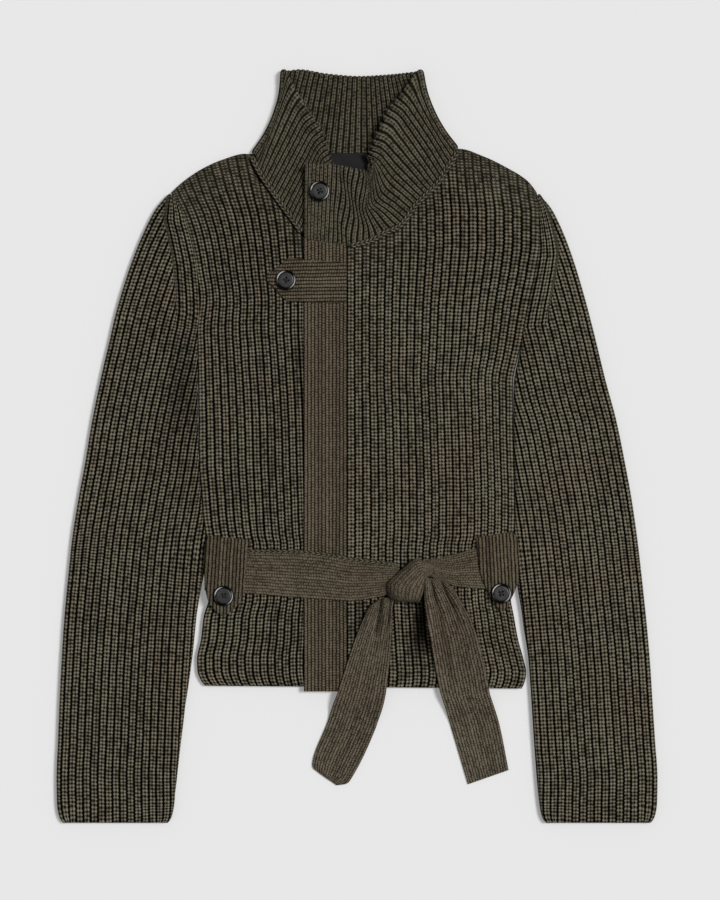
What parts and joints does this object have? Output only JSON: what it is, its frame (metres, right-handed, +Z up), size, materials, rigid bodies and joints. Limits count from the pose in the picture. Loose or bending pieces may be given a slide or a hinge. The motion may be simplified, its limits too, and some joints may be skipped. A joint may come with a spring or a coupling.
{
  "type": "ribbed cardigan laid flat",
  "caption": "Chunky ribbed cardigan laid flat, with a folded stand collar, a side placket, buttoned tabs and a tied belt.",
  "frame": {"origin": "middle of the bottom of the bounding box, on the surface that the garment lies on", "axes": "+Y towards the collar along the length, +X towards the wearer's left sleeve, +Z up off the surface through the fronts"},
  "size_m": [0.59, 0.74, 0.0304],
  "materials": {
    "rib_knit": "chunky half-cardigan rib in dark olive wool yarn",
    "collar_rib": "dense rib in dark olive wool yarn, folded double",
    "fine_rib": "fine flat rib in dark olive wool yarn",
    "button": "dark grey, shiny rim and satin middle",
    "label": "black woven tape, blank"
  },
  "bodies": {
    "root": {"back": "rib_knit", "front_right": "rib_knit", "front_left": "rib_knit", "sleeve_right": "rib_knit", "sleeve_left": "rib_knit", "collar": "collar_rib", "placket": "fine_rib", "neck_tab": "fine_rib", "belt_tab_right": "fine_rib", "belt_tab_left": "fine_rib", "belt_band": "fine_rib", "belt_knot": "fine_rib", "belt_tail_right": "fine_rib", "belt_tail_left": "fine_rib", "button_collar": "button", "button_neck_tab": "button", "button_belt_tab_right": "button", "button_belt_tab_left": "button", "neck_label": "label"}
  },
  "joints": []
}
